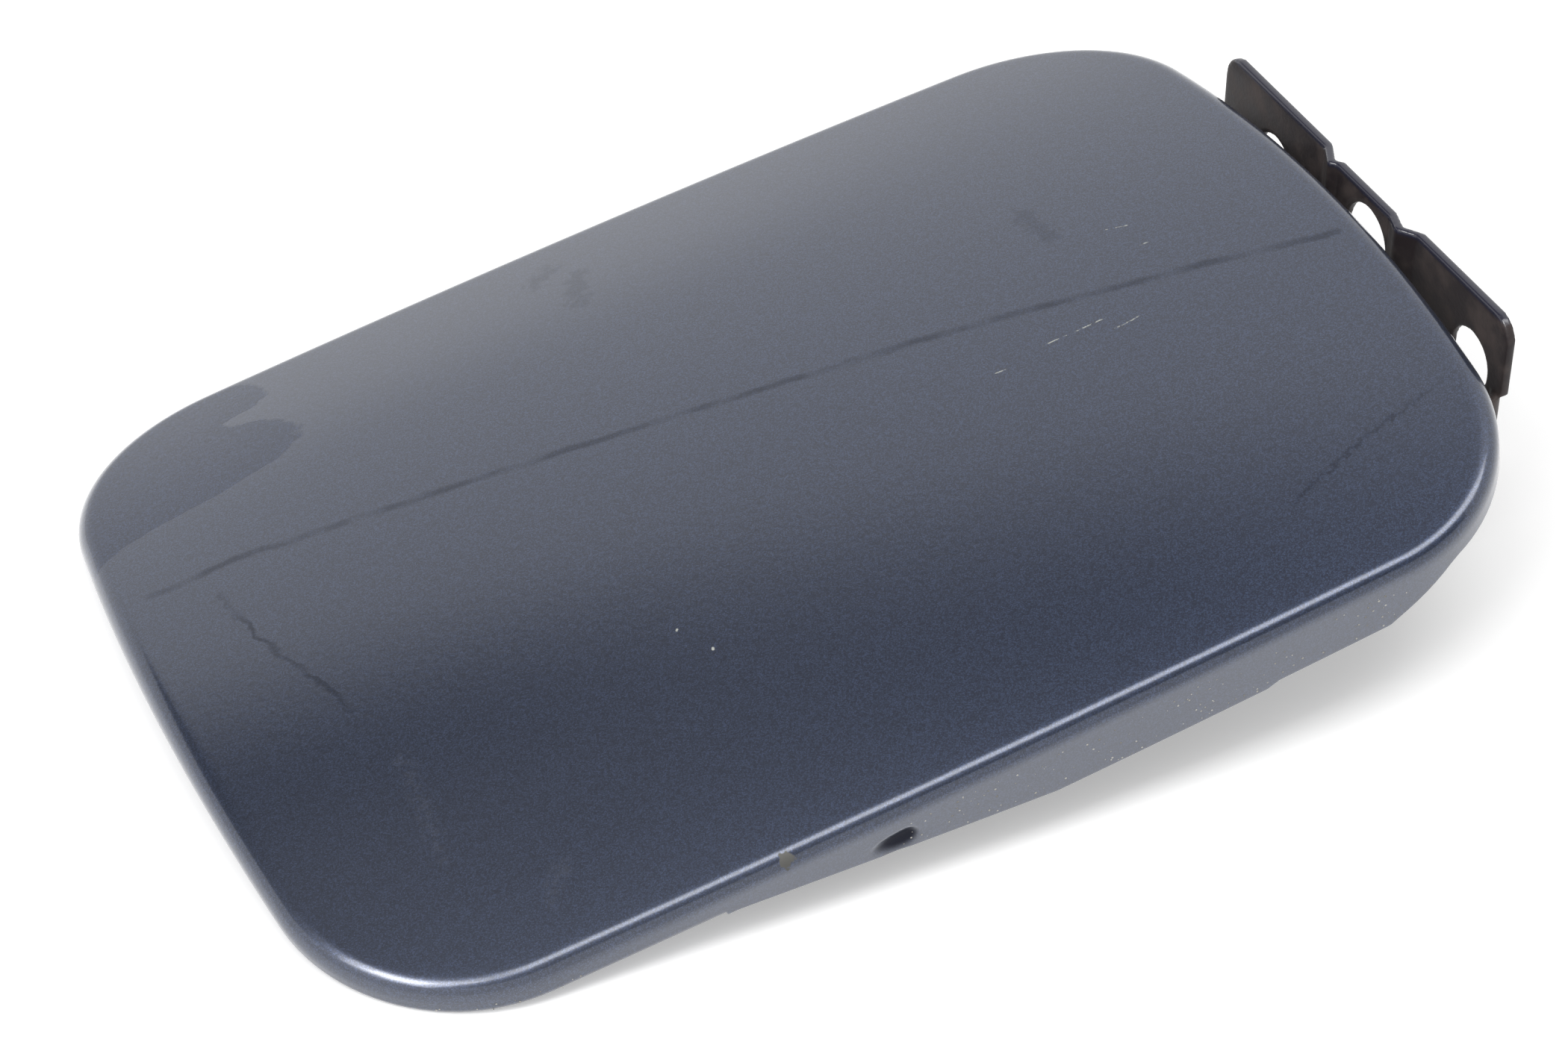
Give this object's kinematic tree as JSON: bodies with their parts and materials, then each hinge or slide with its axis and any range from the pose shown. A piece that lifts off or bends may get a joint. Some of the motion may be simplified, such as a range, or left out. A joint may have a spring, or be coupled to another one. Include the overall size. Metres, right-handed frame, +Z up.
{
  "type": "car fuel filler flap",
  "caption": "Crowned, round-cornered painted steel filler flap with a hemmed edge, pressed inner panel and a sprung pin hinge on a bolted base.",
  "frame": {"origin": "midway between the two fixing holes, on the outer face of the hinge base's plate", "axes": "+X out of the plate's outer face, Y along the hinge pin, +Z up; the flap lies open towards -X, outer face up"},
  "size_m": [0.1923, 0.1386, 0.0418],
  "materials": {
    "body_paint": "dark blue metallic paint, worn clear coat",
    "thin_paint": "thin dark overspray on steel, dusty",
    "plated_steel": "dull zinc plate",
    "spring_steel": "oiled black spring wire",
    "nylon": "natural moulded plastic",
    "buffer_rubber": "matt moulded rubber"
  },
  "bodies": {
    "base": {"hinge_base": "thin_paint", "hinge_pin": "plated_steel", "pin_clip": "plated_steel", "return_spring": "spring_steel"},
    "flap": {"outer_panel": "body_paint", "inner_panel": "body_paint", "latch_keeper": "body_paint", "buffer_front": "buffer_rubber", "buffer_back": "buffer_rubber", "hinge_arm": "body_paint", "bush_front": "nylon", "bush_back": "nylon"}
  },
  "joints": [
    {"name": "flap_hinge", "type": "hinge", "parent": "base", "child": "flap", "pos_m": [-0.0154, 0, -0.02201], "axis": [0, -1, 0], "range_deg": [0, 80], "stiffness_Nm_per_rad": 0.12, "springref_deg": -45.84, "deforming": ["return_spring"]}
  ]
}
